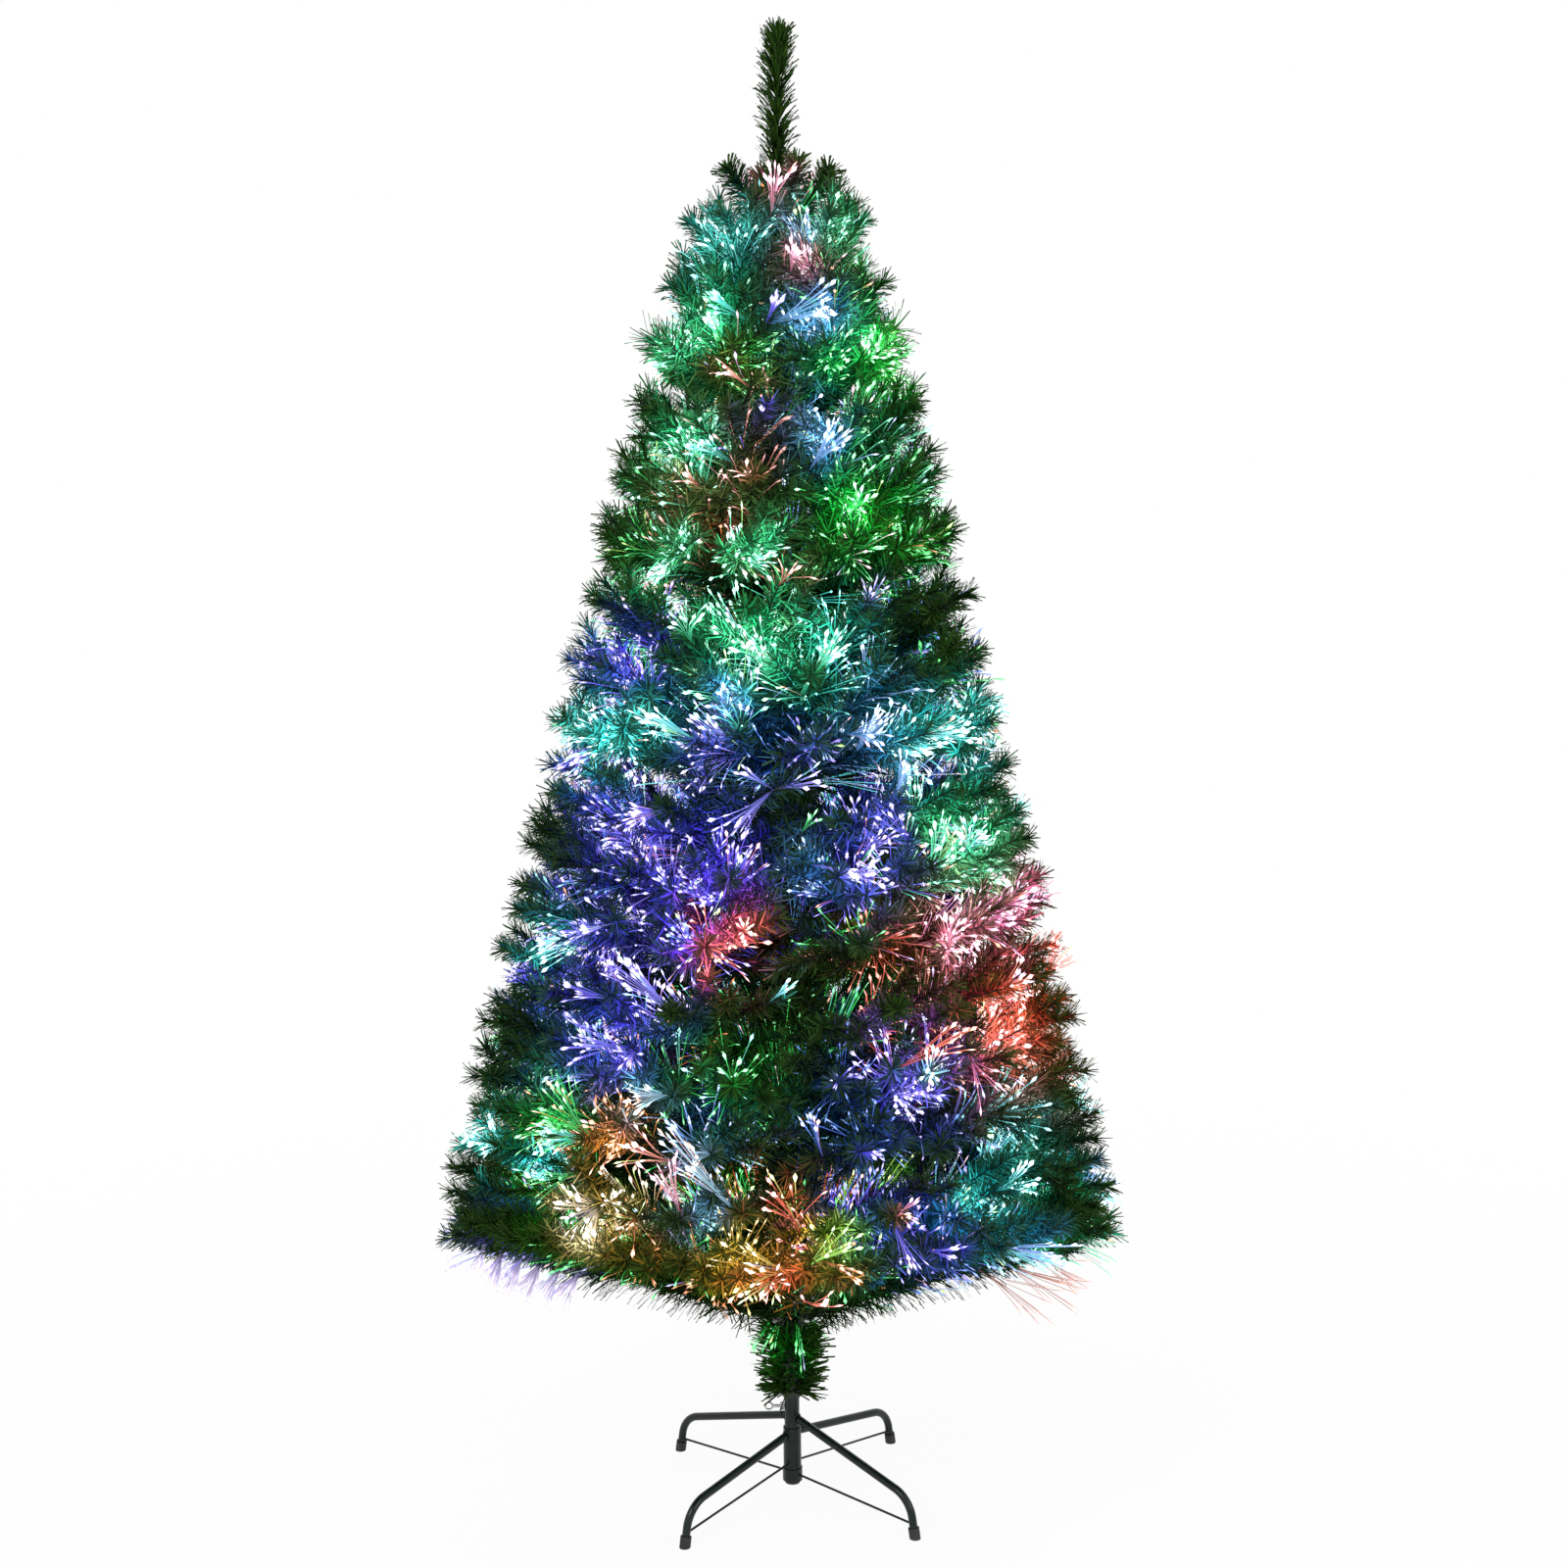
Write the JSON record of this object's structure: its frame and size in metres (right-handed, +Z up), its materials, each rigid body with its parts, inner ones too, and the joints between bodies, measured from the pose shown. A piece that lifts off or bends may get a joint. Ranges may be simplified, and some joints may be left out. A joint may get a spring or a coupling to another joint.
{
  "type": "fiber optic christmas tree",
  "caption": "Artificial tree of hinged needled branches with light-fibre sprays on a plug-together pole in a folding four-legged stand.",
  "frame": {"origin": "on the floor under the pole's axis, midway between the feet", "axes": "+Z up along the pole, -Y towards the picture's viewpoint, +X to its right"},
  "size_m": [0.856, 0.8424, 1.8],
  "materials": {
    "green_paint": "satin",
    "zinc_plate": "satin",
    "black_plastic": "matte",
    "black_rubber": "matte",
    "needles": "matte",
    "fibres": "gloss"
  },
  "bodies": {
    "stand": {"stand_tube": "green_paint", "end_cap": "black_plastic", "clamp_nut": "zinc_plate", "leg_front_right": "green_paint", "brace_front_right": "green_paint", "foot_cap_front_right": "black_rubber", "leg_rear_left": "green_paint", "brace_rear_left": "green_paint", "foot_cap_rear_left": "black_rubber"},
    "swivel": {"swivel_sleeve": "green_paint", "leg_rear_right": "green_paint", "brace_rear_right": "green_paint", "foot_cap_rear_right": "black_rubber", "leg_front_left": "green_paint", "brace_front_left": "green_paint", "foot_cap_front_left": "black_rubber"},
    "eye_screw_body": {"eye_screw": "zinc_plate"},
    "lower_section": {"lower_pole": "green_paint", "trunk_skirt": "needles", "branch_collar_1": "green_paint", "fibre_spray_1": "fibres", "branch_collar_2": "green_paint", "fibre_spray_2": "fibres", "branch_collar_3": "green_paint", "fibre_spray_3": "fibres"},
    "upper_section": {"upper_pole": "green_paint", "leader": "needles", "branch_collar_4": "green_paint", "fibre_spray_4": "fibres", "branch_collar_5": "green_paint", "fibre_spray_5": "fibres", "branch_collar_6": "green_paint", "fibre_spray_6": "fibres"},
    "branch_1_1_body": {"branch_1_1": "needles"},
    "branch_1_2_body": {"branch_1_2": "needles"},
    "branch_1_3_body": {"branch_1_3": "needles"},
    "branch_1_4_body": {"branch_1_4": "needles"},
    "branch_1_5_body": {"branch_1_5": "needles"},
    "branch_1_6_body": {"branch_1_6": "needles"},
    "branch_2_1_body": {"branch_2_1": "needles"},
    "branch_2_2_body": {"branch_2_2": "needles"},
    "branch_2_3_body": {"branch_2_3": "needles"},
    "branch_2_4_body": {"branch_2_4": "needles"},
    "branch_2_5_body": {"branch_2_5": "needles"},
    "branch_3_1_body": {"branch_3_1": "needles"},
    "branch_3_2_body": {"branch_3_2": "needles"},
    "branch_3_3_body": {"branch_3_3": "needles"},
    "branch_3_4_body": {"branch_3_4": "needles"},
    "branch_4_1_body": {"branch_4_1": "needles"},
    "branch_4_2_body": {"branch_4_2": "needles"},
    "branch_4_3_body": {"branch_4_3": "needles"},
    "branch_4_4_body": {"branch_4_4": "needles"},
    "branch_5_1_body": {"branch_5_1": "needles"},
    "branch_5_2_body": {"branch_5_2": "needles"},
    "branch_5_3_body": {"branch_5_3": "needles"},
    "branch_5_4_body": {"branch_5_4": "needles"},
    "branch_6_1_body": {"branch_6_1": "needles"},
    "branch_6_2_body": {"branch_6_2": "needles"},
    "branch_6_3_body": {"branch_6_3": "needles"}
  },
  "joints": [
    {"name": "stand_fold", "type": "hinge", "parent": "stand", "child": "swivel", "pos_m": [0, 0, 0.0616], "axis": [0, 0, 1], "range_deg": [0, 80]},
    {"name": "eye_screw_travel", "type": "slide", "parent": "stand", "child": "eye_screw_body", "axis": [-1, 0, 0], "range_m": [0, 0.006]},
    {"name": "lower_pole_lift", "type": "slide", "parent": "stand", "child": "lower_section", "axis": [0, 0, 1], "range_m": [0, 0.105]},
    {"name": "upper_pole_lift", "type": "slide", "parent": "lower_section", "child": "upper_section", "axis": [0, 0, 1], "range_m": [0, 0.082]},
    {"name": "branch_1_1_fold", "type": "hinge", "parent": "lower_section", "child": "branch_1_1_body", "pos_m": [0.02, 0, 0.235], "axis": [0, -1, 0], "range_deg": [0, 65], "deforming": ["branch_1_1"]},
    {"name": "branch_1_2_fold", "type": "hinge", "parent": "lower_section", "child": "branch_1_2_body", "pos_m": [0.01, 0.01732, 0.235], "axis": [0.866, -0.5, 0], "range_deg": [0, 65], "deforming": ["branch_1_2"]},
    {"name": "branch_1_3_fold", "type": "hinge", "parent": "lower_section", "child": "branch_1_3_body", "pos_m": [-0.01, 0.01732, 0.235], "axis": [0.866, 0.5, 0], "range_deg": [0, 65], "deforming": ["branch_1_3"]},
    {"name": "branch_1_4_fold", "type": "hinge", "parent": "lower_section", "child": "branch_1_4_body", "pos_m": [-0.02, 0, 0.235], "axis": [0, 1, 0], "range_deg": [0, 65], "deforming": ["branch_1_4"]},
    {"name": "branch_1_5_fold", "type": "hinge", "parent": "lower_section", "child": "branch_1_5_body", "pos_m": [-0.01, -0.01732, 0.235], "axis": [-0.866, 0.5, 0], "range_deg": [0, 65], "deforming": ["branch_1_5"]},
    {"name": "branch_1_6_fold", "type": "hinge", "parent": "lower_section", "child": "branch_1_6_body", "pos_m": [0.01, -0.01732, 0.235], "axis": [-0.866, -0.5, 0], "range_deg": [0, 65], "deforming": ["branch_1_6"]},
    {"name": "branch_2_1_fold", "type": "hinge", "parent": "lower_section", "child": "branch_2_1_body", "pos_m": [0.01902, 0.00618, 0.4525], "axis": [0.309, -0.9511, 0], "range_deg": [0, 63], "deforming": ["branch_2_1"]},
    {"name": "branch_2_2_fold", "type": "hinge", "parent": "lower_section", "child": "branch_2_2_body", "pos_m": [0, 0.02, 0.4525], "axis": [1, 0, 0], "range_deg": [0, 63], "deforming": ["branch_2_2"]},
    {"name": "branch_2_3_fold", "type": "hinge", "parent": "lower_section", "child": "branch_2_3_body", "pos_m": [-0.01902, 0.00618, 0.4525], "axis": [0.309, 0.9511, 0], "range_deg": [0, 63], "deforming": ["branch_2_3"]},
    {"name": "branch_2_4_fold", "type": "hinge", "parent": "lower_section", "child": "branch_2_4_body", "pos_m": [-0.01176, -0.01618, 0.4525], "axis": [-0.809, 0.5878, 0], "range_deg": [0, 63], "deforming": ["branch_2_4"]},
    {"name": "branch_2_5_fold", "type": "hinge", "parent": "lower_section", "child": "branch_2_5_body", "pos_m": [0.01176, -0.01618, 0.4525], "axis": [-0.809, -0.5878, 0], "range_deg": [0, 63], "deforming": ["branch_2_5"]},
    {"name": "branch_3_1_fold", "type": "hinge", "parent": "lower_section", "child": "branch_3_1_body", "pos_m": [0.01414, 0.01414, 0.67], "axis": [0.7071, -0.7071, 0], "range_deg": [0, 60], "deforming": ["branch_3_1"]},
    {"name": "branch_3_2_fold", "type": "hinge", "parent": "lower_section", "child": "branch_3_2_body", "pos_m": [-0.01414, 0.01414, 0.67], "axis": [0.7071, 0.7071, 0], "range_deg": [0, 60], "deforming": ["branch_3_2"]},
    {"name": "branch_3_3_fold", "type": "hinge", "parent": "lower_section", "child": "branch_3_3_body", "pos_m": [-0.01414, -0.01414, 0.67], "axis": [-0.7071, 0.7071, 0], "range_deg": [0, 60], "deforming": ["branch_3_3"]},
    {"name": "branch_3_4_fold", "type": "hinge", "parent": "lower_section", "child": "branch_3_4_body", "pos_m": [0.01414, -0.01414, 0.67], "axis": [-0.7071, -0.7071, 0], "range_deg": [0, 60], "deforming": ["branch_3_4"]},
    {"name": "branch_4_1_fold", "type": "hinge", "parent": "upper_section", "child": "branch_4_1_body", "pos_m": [0.0198, 0.00278, 0.8875], "axis": [0.1392, -0.9903, 0], "range_deg": [0, 56], "deforming": ["branch_4_1"]},
    {"name": "branch_4_2_fold", "type": "hinge", "parent": "upper_section", "child": "branch_4_2_body", "pos_m": [-0.00278, 0.0198, 0.8875], "axis": [0.9903, 0.1392, 0], "range_deg": [0, 56], "deforming": ["branch_4_2"]},
    {"name": "branch_4_3_fold", "type": "hinge", "parent": "upper_section", "child": "branch_4_3_body", "pos_m": [-0.0198, -0.00278, 0.8875], "axis": [-0.1392, 0.9903, 0], "range_deg": [0, 56], "deforming": ["branch_4_3"]},
    {"name": "branch_4_4_fold", "type": "hinge", "parent": "upper_section", "child": "branch_4_4_body", "pos_m": [0.00278, -0.0198, 0.8875], "axis": [-0.9903, -0.1392, 0], "range_deg": [0, 56], "deforming": ["branch_4_4"]},
    {"name": "branch_5_1_fold", "type": "hinge", "parent": "upper_section", "child": "branch_5_1_body", "pos_m": [0.01231, 0.01576, 1.105], "axis": [0.788, -0.6157, 0], "range_deg": [0, 50], "deforming": ["branch_5_1"]},
    {"name": "branch_5_2_fold", "type": "hinge", "parent": "upper_section", "child": "branch_5_2_body", "pos_m": [-0.01576, 0.01231, 1.105], "axis": [0.6157, 0.788, 0], "range_deg": [0, 50], "deforming": ["branch_5_2"]},
    {"name": "branch_5_3_fold", "type": "hinge", "parent": "upper_section", "child": "branch_5_3_body", "pos_m": [-0.01231, -0.01576, 1.105], "axis": [-0.788, 0.6157, 0], "range_deg": [0, 50], "deforming": ["branch_5_3"]},
    {"name": "branch_5_4_fold", "type": "hinge", "parent": "upper_section", "child": "branch_5_4_body", "pos_m": [0.01576, -0.01231, 1.105], "axis": [-0.6157, -0.788, 0], "range_deg": [0, 50], "deforming": ["branch_5_4"]},
    {"name": "branch_6_1_fold", "type": "hinge", "parent": "upper_section", "child": "branch_6_1_body", "pos_m": [0, 0.02, 1.3225], "axis": [1, 0, 0], "range_deg": [0, 41], "deforming": ["branch_6_1"]},
    {"name": "branch_6_2_fold", "type": "hinge", "parent": "upper_section", "child": "branch_6_2_body", "pos_m": [-0.01732, -0.01, 1.3225], "axis": [-0.5, 0.866, 0], "range_deg": [0, 41], "deforming": ["branch_6_2"]},
    {"name": "branch_6_3_fold", "type": "hinge", "parent": "upper_section", "child": "branch_6_3_body", "pos_m": [0.01732, -0.01, 1.3225], "axis": [-0.5, -0.866, 0], "range_deg": [0, 41], "deforming": ["branch_6_3"]}
  ]
}
